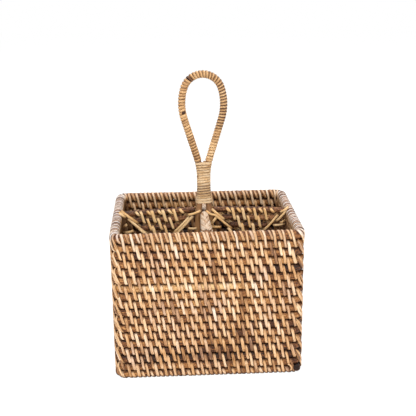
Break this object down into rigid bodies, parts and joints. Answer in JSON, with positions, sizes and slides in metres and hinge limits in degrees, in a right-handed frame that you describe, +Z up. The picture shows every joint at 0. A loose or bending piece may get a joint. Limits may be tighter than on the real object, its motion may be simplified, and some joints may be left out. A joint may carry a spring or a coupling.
{
  "type": "utensil caddy",
  "caption": "Lashed rattan utensil caddy: rectangular basket of stacked cane rods, crossed dividers making four compartments, and a tall wrapped teardrop handle.",
  "frame": {"origin": "centre of the footprint, on the surface that the caddy stands on", "axes": "+X to the right seen from the front, -Y towards the front, +Z up along the handle"},
  "size_m": [0.203, 0.165, 0.3151],
  "materials": {
    "cane_rods": "unpeeled rattan cane, brown, satin bark with darker patches",
    "cane_strips": "split rattan peel, pale tan, satin",
    "beam_braid": "split rattan peel wound in a herringbone, greyed",
    "handle_pole": "bare rattan pole, brown, smooth",
    "handle_wrap": "split rattan peel wound tightly, honey tan, satin"
  },
  "bodies": {
    "root": {"wall_rod_01": "cane_rods", "wall_rod_02": "cane_rods", "wall_rod_03": "cane_rods", "wall_rod_04": "cane_rods", "wall_rod_05": "cane_rods", "wall_rod_06": "cane_rods", "wall_rod_07": "cane_rods", "wall_rod_08": "cane_rods", "wall_rod_09": "cane_rods", "wall_rod_10": "cane_rods", "wall_rod_11": "cane_rods", "wall_rod_12": "cane_rods", "wall_rod_13": "cane_rods", "wall_rod_14": "cane_rods", "wall_rod_15": "cane_rods", "wall_rod_16": "cane_rods", "wall_rod_17": "cane_rods", "rim_rod": "cane_rods", "rim_lashing": "cane_strips", "floor_rods": "cane_rods", "left_divider_rod_1": "cane_rods", "left_divider_rod_2": "cane_rods", "left_divider_rod_3": "cane_rods", "left_divider_rod_4": "cane_rods", "left_divider_rod_5": "cane_rods", "right_divider_rod_1": "cane_rods", "right_divider_rod_2": "cane_rods", "right_divider_rod_3": "cane_rods", "right_divider_rod_4": "cane_rods", "right_divider_rod_5": "cane_rods", "left_divider_lashing": "cane_strips", "right_divider_lashing": "cane_strips", "left_wall_ties": "cane_strips", "right_wall_ties": "cane_strips", "left_leg_ties": "cane_strips", "right_leg_ties": "cane_strips", "front_beam": "beam_braid", "rear_beam": "beam_braid", "handle_cane": "handle_pole", "grip_wrapping": "handle_wrap", "neck_wrapping": "handle_wrap"}
  },
  "joints": []
}
